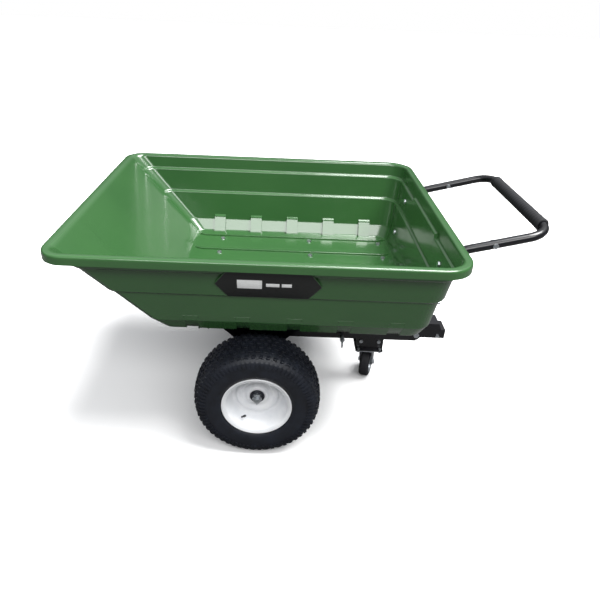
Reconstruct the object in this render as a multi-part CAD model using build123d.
from build123d import *
import os
from math import atan, cos, degrees, hypot, radians, sin, tan

# Poly dump cart: a moulded tray on a two-wheel axle, with a folding drawbar and a swivelling castor.
# Millimetres, +X to the handle end, +Z up. The working frame has the wheel axle above X = 0.

# ---------------------------------------------------------------- driving dimensions
# Tray, inside faces
rim_rear, rim_front, rim_half = -575.0, 572.0, 485.0    # outer edge of the rolled rim
rim_z = 738.0                   # top of the rim
rim_width = 25.0                # flat of the rim, outside to inside
rim_skirt = 30.0                # height of the turned-down rim
wall = 5.0                      # moulded wall
floor_rear, floor_front, floor_half = -285.0, 492.0, 361.0
floor_z = 458.0                 # inside floor
band_rise, band_side, band_front = 42.0, 25.0, 14.0     # chamfer between the floor and the walls
ledge_heights = (604.0, 687.0)  # two steps that stiffen the walls
ledge_step = 9.0
corner_floor, corner_rim_rear, corner_rim_front = 30.0, 45.0, 62.0
rib_count, rib_pitch, rib_width, rib_height = 5, 149.5, 48.0, 13.0
strip_lines, strip_width, strip_height = (188.0, 318.0), 22.0, 3.0
strip_margin, strip_point = 12.0, 10.0
label_x, label_half, label_point, label_plate = 27.0, 144.0, 33.0, 1.0
label_low_z, label_high_z, label_border = 607.0, 706.0, 3.0
# Tray carriers
cross_members = (("rear_cross_member", -175.0), ("middle_cross_member", 173.0),
                 ("front_cross_member", 452.0))
cross_width, cross_height, cross_half, steel = 34.0, 44.0, 300.0, 4.0
floor_bolt_lines = (154.0, 283.0)
floor_bolt, floor_head, floor_head_rise, hole_clear = 8.0, 9.5, 4.5, 0.25
bracket_y, bracket_plate, bracket_flange, flange_plate = 250.0, 5.0, 44.0, 6.0
bracket_top_half, bracket_waist = 155.0, 0.56           # waist: how far the sides curve in
boss_radius, boss_length, bush_wall = 24.0, 34.0, 3.5
# Running gear
axle_radius, axle_half, axle_z = 10.0, 398.0, 203.0
wheel_y = 355.0                 # middle of each tyre
tyre_half, tyre_wall, tread_wall = 80.0, 9.0, 14.0
rim_radius, rim_half_width, rim_metal = 112.0, 68.0, 2.5
seat_radius, well_radius, well_half = 101.0, 84.0, 20.0
hub_radius, hub_wall, hub_inner, hub_outer = 24.0, 3.0, -44.0, 16.0
bearing_width, run_clear, gap = 12.0, 0.05, 0.3
valve_turn, valve_radius = 33.0, 3.0
# Chassis
beam_half, beam_plate, beam_bottom, beam_top = 36.0, 3.0, 211.0, 262.0
beam_rear, beam_front = -40.0, 596.0
bracket_half = beam_half - beam_plate   # the nose bracket fits inside the beam
bracket_bottom, bracket_front, bracket_rear = 225.0, 685.0, 548.0
hinge_x, hinge_z, hinge_radius = 578.0, 238.0, 6.0
post_size, pad_thick = 40.0, 9.0
tab_low_x, tab_high_x, tab_rise = 60.0, 38.0, 25.0
# Drawbar, extending forwards from the hinge; it is drawn folded back under the beam
bar_half, bar_height, bar_plate = 28.0, 36.0, 3.0
bar_length, jaw_length, jaw_plate, jaw_rise = 482.0, 55.0, 6.0, 8.0
jaw_half = bar_half - bar_plate         # the jaw plates fill the inside of the drawbar
pin_inset, pin_radius = 22.0, 7.0
towing_bore, tail_slot, clip_wire = 8.0, 12.0, 1.5
# Castor
castor_back = 168.0             # castor behind the hinge, along the drawbar
castor_wheel_radius, castor_wheel_half, castor_trail, castor_turn = 62.5, 18.5, 35.0, 70.0
castor_plate_z, castor_plate_x, castor_plate_y, castor_plate = 161.0, 103.0, 90.0, 4.0
race_radius, race_height = 28.0, 9.0
fork_gap, fork_plate, fork_eye = 22.5, 3.0, 14.0
castor_axle, castor_bolt_spread, castor_bolt_z = 5.0, 33.5, 198.0
# Handle
tube_radius, tube_wall = 13.5, 2.0
leg_y, leg_slope, leg_bend, leg_foot_z = 265.0, 14.7, 78.0, 492.0
leg_clear_rim = 2.0             # air between the leg and the rim skirt
leg_joint_x, sleeve_length = 700.0, 55.0
bar_x, bow_bend = 832.0, 60.0
grip_radius, wall_bolt_heights = 20.0, (521.0, 648.0)
# Lock pins
lock_x, lock_radius, lock_boss, lock_travel = 297.0, 6.0, 14.0, 22.0
latch_plate, latch_drop, latch_pin_drop = 4.0, 58.0, 40.0
ring_radius, ring_wire = 14.0, 1.6
knob_length, knob_rim, eye_radius, eye_inset = 6.0, 3.0, 2.2, 8.0
boss_length, pull_gap = 14.0, 3.0
knob_stand = lock_travel + ring_radius + ring_wire - eye_inset + pull_gap   # room for knob and ring

nodes = {}


# ---------------------------------------------------------------- shared shapes
def bar_y(radius, low, high, x=0, z=0):
    """Round bar along Y between two Y values."""
    return Pos(x, (low + high) / 2, z) * Rot(X=90) * Cylinder(radius, abs(high - low))


def bar_z(radius, low, high, x=0, y=0):
    """Round bar along Z between two heights."""
    return Pos(x, y, (low + high) / 2) * Cylinder(radius, high - low)


def block(x0, x1, y0, y1, z0, z1):
    """Box between two corners."""
    return Pos((x0 + x1) / 2, (y0 + y1) / 2, (z0 + z1) / 2) * Box(x1 - x0, y1 - y0, z1 - z0)


def plate_xz(face, y0, y1):
    """Plate standing in the XZ plane, between two Y values."""
    return Pos(0, (y0 + y1) / 2, 0) * extrude(Plane.XZ * face, (y1 - y0) / 2, both=True)


def plate_yz(face, x0, x1):
    """Plate standing in the YZ plane, between two X values."""
    return Pos((x0 + x1) / 2, 0, 0) * extrude(Plane.YZ * face, (x1 - x0) / 2, both=True)


def closed(*points):
    """Face inside a ring of straight sides."""
    return make_face(Polyline(*points, close=True))


def hex_y(across, low, high, x, z):
    """Hexagonal nut or bolt head along Y."""
    hexagon = RegularPolygon(across / 2, 6, major_radius=False)
    return Pos(x, (low + high) / 2, z) * Rot(X=90) * extrude(hexagon, (high - low) / 2, both=True)


def hex_z(across, low, high, x, y):
    """Hexagonal nut or bolt head along Z."""
    hexagon = RegularPolygon(across / 2, 6, major_radius=False)
    return Pos(x, y, low) * extrude(hexagon, high - low)


def mirrored(shape):
    """The shape and its mirror image on the other side of the cart."""
    return [shape, mirror(shape, Plane.XZ)]


# ---------------------------------------------------------------- tray
def outline(rear, front, half, corner_rear, corner_front, z):
    """Rectangle with one corner radius at the rear and another at the front."""
    face = Pos((rear + front) / 2, 0) * Rectangle(front - rear, 2 * half)
    face = fillet(face.vertices().group_by(Axis.X)[0], corner_rear)
    face = fillet(face.vertices().group_by(Axis.X)[-1], corner_front)
    return Pos(0, 0, z) * face


rim_open_rear, rim_open_front = rim_rear + rim_width, rim_front - rim_width
rim_open_half = rim_half - rim_width
band_z = floor_z + band_rise
steps_total = ledge_step * len(ledge_heights)
side_draft = (rim_open_half - floor_half - band_side - steps_total) / (rim_z - band_z)
front_draft = (rim_open_front - floor_front - band_front - steps_total) / (rim_z - band_z)
ramp_slope = (floor_rear - rim_open_rear) / (rim_z - floor_z)


def inside(z, steps):
    """Inside half-width, front and rear of the tray at a height, with the ledges passed below it."""
    if z <= band_z:
        share = (z - floor_z) / band_rise
        half, front = floor_half + share * band_side, floor_front + share * band_front
    else:
        half = floor_half + band_side + side_draft * (z - band_z) + steps * ledge_step
        front = floor_front + band_front + front_draft * (z - band_z) + steps * ledge_step
    return half, front, floor_rear - ramp_slope * (z - floor_z)


def tray_layers(grow):
    """Stack of tapered blocks that fills the tray, grown by the wall for its outside."""
    levels = [(floor_z, 0), (band_z, 0)]
    for count, height in enumerate(ledge_heights):
        levels += [(height, count), (height, count + 1)]
    levels.append((rim_z, len(ledge_heights)))
    ramp_grow = grow * (2 ** 0.5 - 1)
    sections = []
    for z, steps in levels:
        half, front, rear = inside(z, steps)
        share = (z - floor_z) / (rim_z - floor_z)
        corner_rear = corner_floor + share * (corner_rim_rear - corner_floor)
        corner_front = corner_floor * 1.5 + share * (corner_rim_front - corner_floor * 1.5)
        low = z - grow if z < rim_z else z
        sections.append(outline(rear - ramp_grow, front + grow, half + grow,
                                corner_rear + grow, corner_front + grow, low))
    pairs = [(0, 1), (1, 2), (3, 4), (5, 6)]
    body = loft([sections[0], sections[1]], ruled=True)
    for low, high in pairs[1:]:
        body += loft([sections[low], sections[high]], ruled=True)
    return body


def rib_profile(out, down):
    """Cross-section of a moulded rib over the floor chamfer, from the middle of the tray outwards."""
    length = hypot(band_side, band_rise)
    in_y, up_z = rib_height * band_rise / length, rib_height * band_side / length
    low, high = floor_half - in_y + out, floor_half + band_side - in_y + out
    return closed((low - 6, floor_z - 40), (low - 6, floor_z - down), (low, floor_z + up_z - down),
                  (high, band_z + up_z - down), (high + 18, band_z + up_z + 7 - down),
                  (high + 60, band_z + up_z + 7 - down), (high + 60, floor_z - 40))


def hexagon_face(middle, half, point, low, high):
    """Long hexagon with a point at each end."""
    centre = (low + high) / 2
    return closed((middle - half, centre), (middle - half + point, high), (middle + half - point, high),
                  (middle + half, centre), (middle + half - point, low), (middle - half + point, low))


label_low_y = inside(label_low_z + wall, 1)[0] + wall
ledge_out_y = inside(ledge_heights[1], 2)[0] + wall
label_lean = (ledge_out_y - label_low_y) / (ledge_heights[1] - wall - label_low_z)


def label_slab(face, inner, outer):
    """Slab of a given face, between two offsets from the leaning plane of the side label."""
    tall = extrude(Plane.XZ * face, 2 * rim_half, both=True)
    z0, z1 = label_low_z - 20, label_high_z + 20
    y0, y1 = [label_low_y + label_lean * (z - label_low_z) for z in (z0, z1)]
    lean = closed((y0 + inner, z0), (y1 + inner, z1), (y1 + outer, z1), (y0 + outer, z0))
    return tall & plate_yz(lean, -rim_half, rim_half)


skirt_z = rim_z - rim_skirt
rib_mid = (floor_rear + floor_front) / 2
rib_places = [rib_mid + (i - (rib_count - 1) / 2) * rib_pitch for i in range(rib_count)]

rim_block = extrude(outline(rim_rear, rim_front, rim_half, corner_rim_rear + rim_width,
                                           corner_rim_front + rim_width, skirt_z), rim_skirt)
rim_block = fillet(rim_block.faces().sort_by(Axis.Z)[-1].edges(), wall + 3)
rim_block -= extrude(outline(rim_rear + wall, rim_front - wall, rim_half - wall,
                             corner_rim_rear + rim_width - wall, corner_rim_front + rim_width - wall,
                             skirt_z), rim_skirt - wall)
cavity = tray_layers(0)
shell = tray_layers(wall)
for rib_x in rib_places:
    for side in mirrored(plate_yz(rib_profile(0, 0), rib_x - rib_width / 2, rib_x + rib_width / 2)):
        cavity -= side
    notch_half = rib_width / 2 - wall
    for side in mirrored(plate_yz(rib_profile(wall, wall), rib_x - notch_half, rib_x + notch_half)):
        shell -= side
for line in strip_lines:
    strip = hexagon_face(rib_mid, (floor_front - floor_rear) / 2 - strip_margin, strip_point,
                         line - strip_width / 2, line + strip_width / 2)
    cavity -= mirrored(Pos(0, 0, floor_z - 1) * extrude(strip, strip_height + 1))
tray = shell + rim_block - cavity
pad_face = hexagon_face(label_x, label_half + label_border, label_point, label_low_z - label_border,
                        label_high_z + label_border)
label_pad = label_slab(pad_face, -wall - ledge_step, 0) - shell
tray += mirrored(label_pad)
label_face = hexagon_face(label_x, label_half, label_point, label_low_z, label_high_z)
label = label_slab(label_face, 0, label_plate)
nodes["left_label"], nodes["right_label"] = label, mirror(label, Plane.XZ)

# ---------------------------------------------------------------- cross members and floor bolts
floor_under = floor_z - wall
cross_z = floor_under - cross_height
bolt_spots = [(x, y) for _, x in cross_members for line in floor_bolt_lines for y in (line, -line)]
floor_bolts, floor_nuts, floor_holes = [], [], []
for x, y in bolt_spots:
    head = Pos(x, y, floor_z) * Sphere(floor_head) & block(x - 12, x + 12, y - 12, y + 12, floor_z,
                                                          floor_z + floor_head_rise)
    neck = block(x - floor_bolt / 2, x + floor_bolt / 2, y - floor_bolt / 2, y + floor_bolt / 2,
                 floor_under, floor_z)
    floor_bolts.append(head + neck + bar_z(floor_bolt / 2, floor_under - 16, floor_z, x, y))
    nut = hex_z(13, floor_under - steel - 6.5, floor_under - steel, x, y)
    floor_nuts.append(nut - bar_z(floor_bolt / 2, floor_under - 20, floor_z, x, y))
    square = floor_bolt / 2 + hole_clear
    floor_holes.append(block(x - square, x + square, y - square, y + square, floor_under - 1, floor_z + 1))
for name, x in cross_members:
    member = block(x - cross_width / 2, x + cross_width / 2, -cross_half, cross_half, cross_z, floor_under)
    member -= block(x - cross_width / 2 + steel, x + cross_width / 2 - steel, -cross_half - 1,
                    cross_half + 1, cross_z - 1, floor_under - steel)
    for bx, by in bolt_spots:
        member -= bar_z(floor_bolt / 2, floor_under - 20, floor_under + 1, bx, by)
    nodes[name] = member
nodes["floor_bolts"] = Compound(floor_bolts + floor_nuts)
tray -= floor_holes

# ---------------------------------------------------------------- axle brackets under the tray
bush_radius = axle_radius + run_clear + bush_wall
flange_half = (cross_members[1][1] - cross_members[0][1] + cross_width) / 2
flange_mid = (cross_members[1][1] + cross_members[0][1]) / 2
web_top = cross_z - flange_plate
waist_x = boss_radius + (bracket_top_half - boss_radius) * (1 - bracket_waist)
waist_z = axle_z + (web_top - axle_z) * 0.7
side_right = ThreePointArc((bracket_top_half, web_top), (waist_x, waist_z), (boss_radius, axle_z))
side_left = ThreePointArc((-boss_radius, axle_z), (-waist_x, waist_z), (-bracket_top_half, web_top))
web_face = make_face([Line((-bracket_top_half, web_top), (bracket_top_half, web_top)), side_right,
                      Line((boss_radius, axle_z), (-boss_radius, axle_z)), side_left])
bush_low, bush_high = bracket_y - boss_length / 2, bracket_y + boss_length / 2
bracket = plate_xz(web_face, bracket_y - bracket_plate / 2, bracket_y + bracket_plate / 2)
bracket += bar_y(boss_radius, bush_low, bush_high, 0, axle_z)
bracket += block(flange_mid - flange_half, flange_mid + flange_half, bracket_y - bracket_flange / 2,
                 bracket_y + bracket_flange / 2, web_top, cross_z)
bracket -= bar_y(bush_radius, bush_low - 1, bush_high + 1, 0, axle_z)
nodes["left_axle_bracket"], nodes["right_axle_bracket"] = mirrored(bracket)
bush = bar_y(bush_radius, bush_low, bush_high, 0, axle_z)
bush -= bar_y(axle_radius + run_clear, bush_low - 1, bush_high + 1, 0, axle_z)
nodes["axle_bushes"] = Compound(mirrored(bush))

# ---------------------------------------------------------------- axle and what holds the wheels on it
hub_in, hub_out = wheel_y + hub_inner, wheel_y + hub_outer
nodes["axle"] = bar_y(axle_radius, -axle_half, axle_half, 0, axle_z)
collar = bar_y(axle_radius + 6, bush_high + gap, hub_in - gap, 0, axle_z)
nodes["axle_spacers"] = Compound(mirrored(collar - bar_y(axle_radius, 0, axle_half, 0, axle_z)))
washer = bar_y(axle_radius + 8, hub_out + gap, hub_out + gap + 3, 0, axle_z)
washer -= bar_y(axle_radius, 0, axle_half, 0, axle_z)
nut_low = hub_out + gap + 3
nut = hex_y(28, nut_low, nut_low + 14, 0, axle_z)
nut -= bar_y(axle_radius, 0, axle_half, 0, axle_z)
nodes["axle_nuts"] = Compound(mirrored(nut) + mirrored(washer))
cotter_y = nut_low + 14 + 4
cotter = bar_z(1.6, axle_z - axle_radius - 9, axle_z + axle_radius + 4, 0, cotter_y)
cotter += Pos(0, cotter_y, axle_z + axle_radius + 7) * Rot(X=90) * Torus(4, 1.6)
nodes["axle"] -= mirrored(bar_z(1.6, axle_z - 20, axle_z + 20, 0, cotter_y))
nodes["cotter_pins"] = Compound(mirrored(cotter))


# ---------------------------------------------------------------- wheels
def wheel_parts(side):
    """Tyre, rim, hub, bearings and valve of one wheel; side is +1 on the left, -1 on the right."""
    crown, bead_y = axle_z, rim_half_width - 4
    bulge = (rim_radius + crown) / 2
    outer = [ThreePointArc((seat_radius, bead_y), (rim_radius + 6, bead_y + 9), (bulge, tyre_half)),
             ThreePointArc((bulge, tyre_half), (crown - 18, tyre_half - 5), (crown - 5, tyre_half - 18)),
             ThreePointArc((crown - 5, tyre_half - 18), (crown, 0), (crown - 5, 18 - tyre_half)),
             ThreePointArc((crown - 5, 18 - tyre_half), (crown - 18, 5 - tyre_half), (bulge, -tyre_half)),
             ThreePointArc((bulge, -tyre_half), (rim_radius + 6, -bead_y - 9), (seat_radius, -bead_y))]
    inner_half = tyre_half - tyre_wall
    inner = [Line((seat_radius, -bead_y), (seat_radius, -bead_y + 14)),
             ThreePointArc((seat_radius, -bead_y + 14), (rim_radius + 10, -bead_y + 4), (bulge, -inner_half)),
             ThreePointArc((bulge, -inner_half), (crown - tread_wall, 0), (bulge, inner_half)),
             ThreePointArc((bulge, inner_half), (rim_radius + 10, bead_y - 4), (seat_radius, bead_y - 14)),
             Line((seat_radius, bead_y - 14), (seat_radius, bead_y))]
    tyre = revolve(make_face(outer + inner), Axis.Y)
    m, w = rim_metal, rim_half_width
    lip = closed((seat_radius, w - 3), (rim_radius, w - 3), (rim_radius, w), (seat_radius - m, w),
                 (seat_radius - m, w - 22), (well_radius - m, well_half + m), (well_radius - m, -well_half),
                 (well_radius, -well_half), (well_radius, well_half), (seat_radius, w - 24))
    far_lip = closed((seat_radius, 3 - w), (rim_radius, 3 - w), (rim_radius, -w), (seat_radius - m, -w),
                     (seat_radius - m, 22 - w), (well_radius - m, -well_half), (well_radius, -well_half),
                     (seat_radius, 24 - w))
    disc = closed((hub_radius, 6), (hub_radius + 14, 6), (hub_radius + 20, 14), (hub_radius + 34, 14),
                  (hub_radius + 42, 4), (well_radius - m, 4), (well_radius - m, 4 - m), (hub_radius + 40, 4 - m),
                  (hub_radius + 33, 14 - m), (hub_radius + 21, 14 - m), (hub_radius + 15, 6 - m),
                  (hub_radius, 6 - m))
    rim = revolve(lip, Axis.Y) + revolve(far_lip, Axis.Y) + revolve(disc, Axis.Y)
    bearing_radius = hub_radius - hub_wall
    hub = bar_y(hub_radius, hub_inner, hub_outer) - bar_y(axle_radius + 3, hub_inner - 1, hub_outer + 1)
    bearings = []
    for low, high in ((hub_inner, hub_inner + bearing_width), (hub_outer - bearing_width, hub_outer)):
        hub -= bar_y(bearing_radius, low, high)
        bearings.append(bar_y(bearing_radius, low, high) - bar_y(axle_radius + run_clear, low, high))
    slope_y, slope_r = (w - 22 + well_half) / 2, (seat_radius + well_radius) / 2
    down, back = cos(radians(valve_turn)), sin(radians(valve_turn))
    valve_plane = Plane(origin=(-back * slope_r, slope_y, -down * slope_r),
                        z_dir=(0.84 * back, 0.54, 0.84 * down))
    stem = Pos(0, 0, 7) * Cylinder(valve_radius, 34)
    rim -= valve_plane * stem
    valve = valve_plane * (stem + Pos(0, 0, 26) * Cylinder(valve_radius + 0.8, 9))
    shapes = {"tyre": tyre - rim, "rim": rim, "hub": hub, "bearings": Compound(bearings), "valve": valve}
    for name, shape in shapes.items():
        if side < 0:
            shape = mirror(shape, Plane.XZ)
        shapes[name] = Pos(0, side * wheel_y, axle_z) * shape
    return shapes

for hand, side in (("left", 1), ("right", -1)):
    for piece, shape in wheel_parts(side).items():
        nodes[f"{hand}_{piece}"] = shape

# ---------------------------------------------------------------- chassis beam and front bracket
beam = block(beam_rear, beam_front, -beam_half, beam_half, beam_bottom, beam_top)
beam -= block(beam_rear - 1, beam_front + 1, beam_plate - beam_half, beam_half - beam_plate,
              beam_bottom - 1, beam_top - beam_plate)
beam -= block(hinge_x, beam_front, -beam_half, beam_half, beam_bottom, hinge_z) - bar_y(
    hinge_z - beam_bottom, -beam_half, beam_half, beam_front - (hinge_z - beam_bottom), hinge_z)
beam -= bar_y(axle_radius + run_clear, -beam_half, beam_half, 0, axle_z)
coupling_x = hinge_x - bar_length - jaw_length + pin_inset
beam -= block(coupling_x - tail_slot, coupling_x + tail_slot, -tail_slot, tail_slot,
              beam_top - beam_plate - 1, beam_top + 1)
beam -= bar_y(lock_radius + run_clear, -beam_half - 1, beam_half + 1, lock_x, hinge_z)
beam -= bar_y(hinge_radius, -beam_half - 1, beam_half + 1, hinge_x, hinge_z)
nodes["main_beam"] = beam

plate_face = closed((-34, beam_top - 6), (34, beam_top - 6), (34, beam_bottom), (20, axle_z - 22),
                    (-20, axle_z - 22), (-34, beam_bottom))
axle_plate = plate_xz(plate_face, beam_half, beam_half + 5) - bar_y(axle_radius, 0, 99, 0, axle_z)
nodes["axle_plates"] = Compound(mirrored(axle_plate))

front = block(beam_front + gap, bracket_front, -bracket_half, bracket_half, bracket_bottom, beam_top)
front -= block(beam_front - 1, bracket_front + 1, beam_plate - bracket_half, bracket_half - beam_plate,
               bracket_bottom - 1, beam_top - beam_plate)
cheek = block(bracket_rear, beam_front + 1, bracket_half - beam_plate, bracket_half,
              bracket_bottom, beam_top - beam_plate)
front += mirrored(cheek)
front -= bar_y(hinge_radius, -beam_half - 1, beam_half + 1, hinge_x, hinge_z)
tab_x = (beam_front + bracket_front) / 2 - 2
catch_face = closed((tab_x - tab_low_x / 2, beam_top), (tab_x + tab_low_x / 2, beam_top),
                    (tab_x + tab_high_x / 2, beam_top + tab_rise),
                    (tab_x - tab_high_x / 2, beam_top + tab_rise))
front += plate_xz(catch_face, -bracket_half, beam_plate - bracket_half)
front += plate_xz(catch_face, bracket_half - beam_plate, bracket_half)
front += block(tab_x - tab_high_x / 2, tab_x + tab_high_x / 2, -bracket_half, bracket_half,
               beam_top + tab_rise - beam_plate, beam_top + tab_rise)
stub_x = bracket_front - 27
stub_bolts = []
for bolt_side in mirrored(bar_y(4, bracket_half - beam_plate, bracket_half + 2, stub_x, hinge_z - 3)
                          + hex_y(13, bracket_half, bracket_half + 5.5, stub_x, hinge_z - 3)):
    stub_bolts.append(bolt_side)
front -= mirrored(bar_y(4, bracket_half - beam_plate - 1, bracket_half + 1, stub_x, hinge_z - 3))
nodes["front_bracket"] = front
nodes["front_bracket_bolts"] = Compound(stub_bolts)

hinge_bolt = bar_y(hinge_radius, -beam_half, beam_half + 10, hinge_x, hinge_z)
hinge_bolt += hex_y(19, -beam_half - 7.5, -beam_half, hinge_x, hinge_z)
hinge_nut = hex_y(19, beam_half, beam_half + 9, hinge_x, hinge_z)
hinge_nut -= bar_y(hinge_radius, 0, beam_half + 12, hinge_x, hinge_z)
nodes["hinge_bolt"] = Compound([hinge_bolt, hinge_nut])

# ---------------------------------------------------------------- front rest and tipping latch
rest_x = cross_members[2][1]
pad_low = cross_z - pad_thick
post_half = post_size / 2
post = block(rest_x - post_half, rest_x + post_half, -post_half, post_half, beam_top, pad_low)
post -= block(rest_x - post_half + 3, rest_x + post_half - 3, 3 - post_half, post_half - 3,
              beam_top - 1, pad_low - 4)
latch_z = cross_z - latch_pin_drop
post -= bar_y(lock_radius + run_clear, -post_half - 1, 0, rest_x, latch_z)
nodes["rest_post"] = post
nodes["rest_pad"] = block(rest_x - post_half, rest_x + post_half, -post_half, post_half, pad_low,
                          cross_z - gap)
tab_out = -post_half - 1.5
latch_low = cross_z - latch_drop
latch_tab = block(rest_x - 16, rest_x + 16, tab_out - latch_plate, tab_out, latch_low, cross_z)
latch_tab -= bar_y(lock_radius + 4 * run_clear, tab_out - 9, tab_out + 9, rest_x, latch_z)
nodes["latch_tab"] = latch_tab
guide_in, guide_out = tab_out - latch_plate - 4, tab_out - latch_plate - 30
guide = block(rest_x - 15, rest_x + 15, guide_out, -post_half, latch_low - 24, latch_low - 18)
guide += block(rest_x - 15, rest_x + 15, guide_out, guide_out + 5, latch_low - 24, latch_z + 15)
guide += bar_y(lock_radius + 5, guide_out, guide_in, rest_x, latch_z)
guide -= bar_y(lock_radius + run_clear, guide_out - 1, guide_in + 1, rest_x, latch_z)
nodes["latch_guide"] = guide


def pull_pin(x, z, tip, knob):
    """Lock pin along Y on the right side, withdrawn, with a knob and an eye for its ring."""
    pin = bar_y(lock_radius, knob - 1, tip, x, z)
    pin += bar_y(lock_radius + knob_rim, knob - knob_length, knob, x, z)
    pin += Pos(x, knob - knob_length, z) * Sphere(lock_radius + 1)
    eye = bar_z(eye_radius, z - 12, z + 12, x, knob - eye_inset)
    return pin - eye


latch_knob = guide_out - knob_stand
latch_pin = pull_pin(rest_x, latch_z, guide_in + 1, latch_knob)
boss_face = -beam_half - boss_length
nodes["lock_pin_boss"] = (bar_y(lock_boss, boss_face, -beam_half, lock_x, hinge_z)
                          - bar_y(lock_radius + run_clear, boss_face - 1, 0, lock_x, hinge_z))
lock_knob = boss_face - knob_stand
lock_pin = pull_pin(lock_x, hinge_z, -beam_half + 1, lock_knob)


def pin_ring(x, z, knob):
    """Pull ring that hangs in the eye of a lock pin."""
    return Pos(x, knob - eye_inset, z - ring_radius) * Rot(Y=90) * Torus(ring_radius, ring_wire)


nodes["lock_pin"] = Compound([lock_pin, pin_ring(lock_x, hinge_z, lock_knob) - lock_pin])
nodes["latch_pin"] = Compound([latch_pin, pin_ring(rest_x, latch_z, latch_knob) - latch_pin])

# ---------------------------------------------------------------- drawbar
bar_low, bar_high = hinge_z - bar_height / 2, hinge_z + bar_height / 2
bar_tip = hinge_x - bar_length
drawbar = block(bar_tip, hinge_x, -bar_half, bar_half, bar_low, bar_high)
drawbar += bar_y(bar_height / 2, -bar_half, bar_half, hinge_x, hinge_z)
drawbar -= block(bar_tip - 1, hinge_x + bar_height, bar_plate - bar_half, bar_half - bar_plate,
                 bar_low + bar_plate, bar_high - bar_plate)
bar_bush_radius = hinge_radius + run_clear + 4
drawbar -= bar_y(bar_bush_radius, -bar_half - 1, bar_half + 1, hinge_x, hinge_z)
drawbar -= bar_y(lock_radius + 4 * run_clear, -bar_half - 1, bar_half + 1, lock_x, hinge_z)
for hole_back in (370.0, 414.0):
    drawbar -= bar_z(6, bar_low - 1, bar_low + bar_plate + 1, hinge_x - hole_back, 0)
nodes["drawbar"] = drawbar
nodes["drawbar_bush"] = (bar_y(bar_bush_radius, -bar_half, bar_half, hinge_x, hinge_z)
                         - bar_y(hinge_radius + run_clear, -bar_half - 1, bar_half + 1, hinge_x, hinge_z))

jaw_tip = bar_tip - jaw_length
jaw_back = bar_tip + 40
upper_in = bar_high - bar_plate
jaw_high = closed((jaw_back, upper_in), (jaw_tip, upper_in), (jaw_tip, upper_in - jaw_plate),
                  (jaw_back, upper_in - jaw_plate))
lower_in = bar_low + bar_plate
jaw_low = closed((jaw_back, lower_in), (bar_tip - 2, lower_in), (bar_tip - 14, lower_in - jaw_rise),
                 (jaw_tip, lower_in - jaw_rise), (jaw_tip, lower_in - jaw_rise + jaw_plate),
                 (bar_tip - 11, lower_in - jaw_rise + jaw_plate), (bar_tip + 1, lower_in + jaw_plate),
                 (jaw_back, lower_in + jaw_plate))
jaw_web = closed((jaw_back - 1, lower_in + jaw_plate), (jaw_back - 7, lower_in + jaw_plate),
                 (jaw_back - 7, upper_in - jaw_plate), (jaw_back - 1, upper_in - jaw_plate))
jaw = plate_xz(jaw_high, -jaw_half, jaw_half) + plate_xz(jaw_low, -jaw_half, jaw_half)
jaw += plate_xz(jaw_web, -jaw_half, jaw_half)
nose = jaw.edges().filter_by(Axis.Z).group_by(Axis.X)[0]
jaw = fillet(nose, 12)
jaw -= bar_z(towing_bore, bar_low - 20, bar_high + 20, coupling_x, 0)
nodes["hitch_jaw"] = jaw

head_z = lower_in - jaw_rise - 2
clip_z = upper_in + clip_wire + gap
coupling_pin = bar_z(pin_radius, head_z, clip_z + 5, coupling_x, 0)
coupling_pin += bar_z(pin_radius + 4, head_z - 5, head_z, coupling_x, 0)
clip_hole = bar_y(clip_wire + run_clear, -20, 20, coupling_x, clip_z)
nodes["coupling_pin"] = coupling_pin - clip_hole
clip_path = FilletPolyline((coupling_x, -16, clip_z), (coupling_x, 15, clip_z), (coupling_x + 11, 15, clip_z),
                           (coupling_x + 11, -9, clip_z), radius=5)
nodes["coupling_clip"] = sweep(Plane(origin=clip_path @ 0, z_dir=clip_path % 0) * Circle(clip_wire), path=clip_path)

# ---------------------------------------------------------------- castor bracket on the drawbar
castor_x = hinge_x - castor_back
plate_half = castor_plate_x / 2
strap_in = bar_half + gap
strap_out = strap_in + 3.2
saddle_top = bar_high - 4
saddle = block(castor_x - plate_half, castor_x + plate_half, -castor_plate_y / 2, castor_plate_y / 2,
               castor_plate_z, castor_plate_z + 4)
saddle += mirrored(block(castor_x - plate_half, castor_x + plate_half, strap_in, strap_out,
                         castor_plate_z, saddle_top))
cross_bolts, spacers = [], []
for sign in (-1, 1):
    bx = castor_x + sign * castor_bolt_spread
    saddle -= bar_y(4, -60, 60, bx, castor_bolt_z)
    cross_bolts.append(bar_y(4, -strap_out, strap_out + 9, bx, castor_bolt_z)
                       + hex_y(13, -strap_out - 5.5, -strap_out, bx, castor_bolt_z))
    cross_bolts.append(hex_y(13, strap_out, strap_out + 6.5, bx, castor_bolt_z)
                       - bar_y(4, 0, 60, bx, castor_bolt_z))
    spacers.append(bar_y(7, -strap_in, strap_in, bx, castor_bolt_z) - bar_y(4, -60, 60, bx, castor_bolt_z))
clamp_bolts = []
for sign in (-1, 1):
    bx = castor_x + sign * castor_bolt_spread
    saddle -= bar_y(3, -60, 60, bx, hinge_z)
    nodes["drawbar"] -= bar_y(3, -60, 60, bx, hinge_z)
    clamp_bolts.append(bar_y(3, -strap_out, strap_out, bx, hinge_z))
nodes["castor_spacers"] = Compound(spacers)

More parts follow.
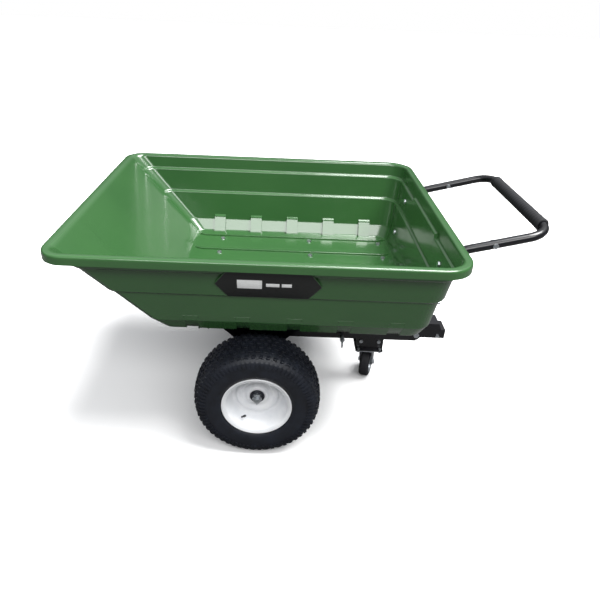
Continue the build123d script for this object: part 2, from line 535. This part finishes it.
plate_low = castor_plate_z - castor_plate
top_plate = block(castor_x - plate_half, castor_x + plate_half, -castor_plate_y / 2, castor_plate_y / 2,
                  plate_low, castor_plate_z)
plate_bolts = []
for sx in (-1, 1):
    for sy in (-1, 1):
        bx, by = castor_x + sx * (plate_half - 11), sy * (castor_plate_y / 2 - 6.5)
        top_plate -= bar_z(3, plate_low - 1, castor_plate_z + 1, bx, by)
        saddle -= bar_z(3, castor_plate_z - 1, castor_plate_z + 6, bx, by)
        plate_bolts.append(bar_z(3, plate_low - 6, castor_plate_z + 4, bx, by)
                           + hex_z(10, castor_plate_z + 4, castor_plate_z + 8, bx, by)
                           + hex_z(10, plate_low - 5, plate_low, bx, by))
top_plate += bar_z(race_radius, plate_low - race_height + gap, plate_low, castor_x, 0)
king_radius = 6.0
crown_under = plate_low - race_height - fork_plate
top_plate += bar_z(king_radius, crown_under - 6, plate_low, castor_x, 0)
top_plate += bar_z(king_radius + 4, crown_under - 6, crown_under - gap, castor_x, 0)
nodes["castor_bracket"] = saddle
nodes["castor_plate"] = top_plate
nodes["castor_bracket_bolts"] = Compound(cross_bolts + clamp_bolts + plate_bolts)

# ---------------------------------------------------------------- castor fork and wheel
crown_high = plate_low - race_height
crown_low = crown_high - fork_plate
crown = Pos(2, 0, crown_low) * extrude(RectangleRounded(58, 2 * (fork_gap + fork_plate), 8), fork_plate)
crown -= bar_z(king_radius + run_clear, crown_low - 1, crown_high + 1)
leg_face = closed((-25, crown_low + 1), (29, crown_low + 1), (castor_trail + fork_eye, castor_wheel_radius),
                  (castor_trail - fork_eye, castor_wheel_radius), (-10, crown_low - 26))
leg_face += Pos(castor_trail, castor_wheel_radius) * Circle(fork_eye)
fork_leg = plate_xz(leg_face, fork_gap, fork_gap + fork_plate)
fork_leg -= bar_y(castor_axle, 0, 60, castor_trail, castor_wheel_radius)
fork = crown + mirrored(fork_leg)
castor_bolt = bar_y(castor_axle, -fork_gap - fork_plate, fork_gap + fork_plate + 9, castor_trail,
                    castor_wheel_radius)
castor_bolt += hex_y(16, -fork_gap - fork_plate - 6, -fork_gap - fork_plate, castor_trail,
                     castor_wheel_radius)
castor_nut = hex_y(16, fork_gap + fork_plate, fork_gap + fork_plate + 8, castor_trail, castor_wheel_radius)
castor_nut -= bar_y(castor_axle, 0, 60, castor_trail, castor_wheel_radius)
tread_in, core_in = castor_wheel_radius - 14, castor_axle + run_clear + 3
tread_face = Pos((castor_wheel_radius + tread_in) / 2, 0) * Rectangle(castor_wheel_radius - tread_in,
                                                                      2 * castor_wheel_half)
tread_face = fillet(tread_face.vertices().group_by(Axis.X)[-1], 9)
castor_tread = revolve(tread_face, Axis.Y)
core = revolve(closed((core_in, -20), (core_in + 7, -20), (core_in + 7, -8), (tread_in - 6, -5),
                      (tread_in - 6, -castor_wheel_half + 2), (tread_in, -castor_wheel_half + 2),
                      (tread_in, castor_wheel_half - 2), (tread_in - 6, castor_wheel_half - 2),
                      (tread_in - 6, 5), (core_in + 7, 8), (core_in + 7, 20), (core_in, 20)), Axis.Y)
core_bush = bar_y(core_in, -21, 21) - bar_y(castor_axle + run_clear, -22, 22)
swivel = Pos(castor_x, 0, 0) * Rot(Z=castor_turn)
rolling = swivel * Pos(castor_trail, 0, castor_wheel_radius)
nodes["castor_fork"] = swivel * fork
nodes["castor_axle_bolt"] = Compound([swivel * castor_bolt, swivel * castor_nut])
nodes["castor_tyre"] = rolling * castor_tread
nodes["castor_core"] = rolling * core
nodes["castor_bush"] = rolling * core_bush

# ---------------------------------------------------------------- handle
slope = radians(leg_slope)
wall_lean = front_draft                                  # X gained by each millimetre of height
low_ledge = ledge_heights[0]
face_low = inside(low_ledge, 1)[1] + wall                # outside of the front wall above the low ledge
line_off = (tube_radius + gap) * hypot(1, wall_lean)


def leg_x(z):
    """X of a leg's centre line where it runs down the front wall."""
    return face_low + wall_lean * (z - low_ledge) + line_off + wall * wall_lean


skirt_gap = tube_radius / cos(slope) + leg_clear_rim
leg_rim_z = skirt_z - skirt_gap                          # centre height under the edge of the rim
corner_z = (leg_rim_z - tan(slope) * (rim_front - leg_x(0))) / (1 - tan(slope) * wall_lean)
corner = (leg_x(corner_z), corner_z)


def leg_point(x):
    """Height of the sloping part of the handle at a given X."""
    return corner_z + tan(slope) * (x - corner[0])


def pipe(path, radius):
    """Solid round bar along a path."""
    return sweep(Plane(origin=path @ 0, z_dir=path % 0) * Circle(radius), path=path)


leg_path = FilletPolyline((leg_x(leg_foot_z), leg_y, leg_foot_z), (corner[0], leg_y, corner_z),
                          (leg_joint_x, leg_y, leg_point(leg_joint_x)), radius=leg_bend)
leg = pipe(leg_path, tube_radius) - pipe(leg_path, tube_radius - tube_wall)
bow_path = FilletPolyline((leg_joint_x, leg_y, leg_point(leg_joint_x)), (bar_x, leg_y, leg_point(bar_x)),
                          (bar_x, -leg_y, leg_point(bar_x)),
                          (leg_joint_x, -leg_y, leg_point(leg_joint_x)), radius=bow_bend)
bow = pipe(bow_path, tube_radius) - pipe(bow_path, tube_radius - tube_wall)
sleeve_radius = tube_radius - tube_wall
sleeve_start = leg_joint_x - sleeve_length * cos(slope)
sleeve_path = Line((sleeve_start, leg_y, leg_point(sleeve_start)),
                   (leg_joint_x + 5, leg_y, leg_point(leg_joint_x + 5)))
sleeve = pipe(sleeve_path, sleeve_radius) - pipe(sleeve_path, sleeve_radius - tube_wall)
bow += mirrored(sleeve)
joint_bolt_x = leg_joint_x - 22
joint_head = bar_y(8, leg_y + tube_radius, leg_y + tube_radius + 4, joint_bolt_x, leg_point(joint_bolt_x))
joint_nut = hex_y(13, leg_y - tube_radius - 7, leg_y - tube_radius, joint_bolt_x, leg_point(joint_bolt_x))
leg -= bar_y(4, leg_y - 30, leg_y + 30, joint_bolt_x, leg_point(joint_bolt_x))
bow -= mirrored(bar_y(4, leg_y - 30, leg_y + 30, joint_bolt_x, leg_point(joint_bolt_x)))
joint_core = bar_y(4, leg_y - tube_radius - 7, leg_y + tube_radius, joint_bolt_x, leg_point(joint_bolt_x))
nodes["handle_bolts"] = Compound(mirrored(joint_core + joint_head) + mirrored(joint_nut - joint_core))
grip_half = leg_y - bow_bend
grip = bar_y(grip_radius, -grip_half, grip_half, bar_x, leg_point(bar_x))
grip = fillet(grip.edges().filter_by(GeomType.CIRCLE), 4)
nodes["handle_grip"] = grip - bar_y(tube_radius, -grip_half - 1, grip_half + 1, bar_x, leg_point(bar_x))

wall_bolts, wall_nuts, wall_spacers = [], [], []
lean_angle = degrees(atan(wall_lean))
for bolt_z in wall_bolt_heights:
    steps = sum(1 for height in ledge_heights if height < bolt_z)
    inner_x = inside(bolt_z, steps)[1]
    centre = leg_x(bolt_z)
    place = Pos(inner_x, leg_y, bolt_z) * Rot(Y=90 + lean_angle)
    reach = (centre - inner_x) / cos(radians(lean_angle)) + tube_radius
    shank = Pos(0, 0, (reach + 9) / 2) * Cylinder(4, reach + 9)
    dome = Sphere(floor_head) & Pos(0, 0, -floor_head_rise / 2) * Box(24, 24, floor_head_rise)
    wall_bolts.append(place * (shank + dome))
    nut = extrude(RegularPolygon(6.5, 6, major_radius=False), 7)
    wall_nuts.append(place * (Pos(0, 0, reach) * nut - shank))
    tube_face = reach - 2 * tube_radius
    stand = wall * (1 + wall_lean) * cos(radians(lean_angle))
    if tube_face - stand > 2:
        spacer = Pos(0, 0, stand) * extrude(Circle(9), tube_face - stand + 2) - shank
        wall_spacers.append(place * spacer - pipe(leg_path, tube_radius))
    leg -= place * shank
    tray -= mirrored(place * shank)
nodes["left_handle_leg"], nodes["right_handle_leg"] = mirrored(leg)
nodes["handle_bow"] = bow
nodes["wall_bolts"] = Compound([half for one in wall_bolts + wall_nuts for half in mirrored(one)])
nodes["wall_spacers"] = Compound([half for one in wall_spacers for half in mirrored(one)])
foot = Pos(leg_x(leg_foot_z), leg_y, leg_foot_z) * Rot(Y=lean_angle)
cap = foot * (Pos(0, 0, -2) * Cylinder(tube_radius, 4) + Pos(0, 0, 6) * Cylinder(tube_radius - tube_wall, 12))
nodes["leg_end_caps"] = Compound(mirrored(cap))
nodes["tray"] = tray

# ---------------------------------------------------------------- write every sub-part
handle_front = bar_x + grip_radius
middle_x = (rim_rear + handle_front) / 2
os.makedirs("parts", exist_ok=True)
for name, shape in nodes.items():
    export_step(Pos(-middle_x, 0, 0) * shape, f"parts/{name}.step")
print(len(nodes), "sub-parts, origin shift", middle_x)
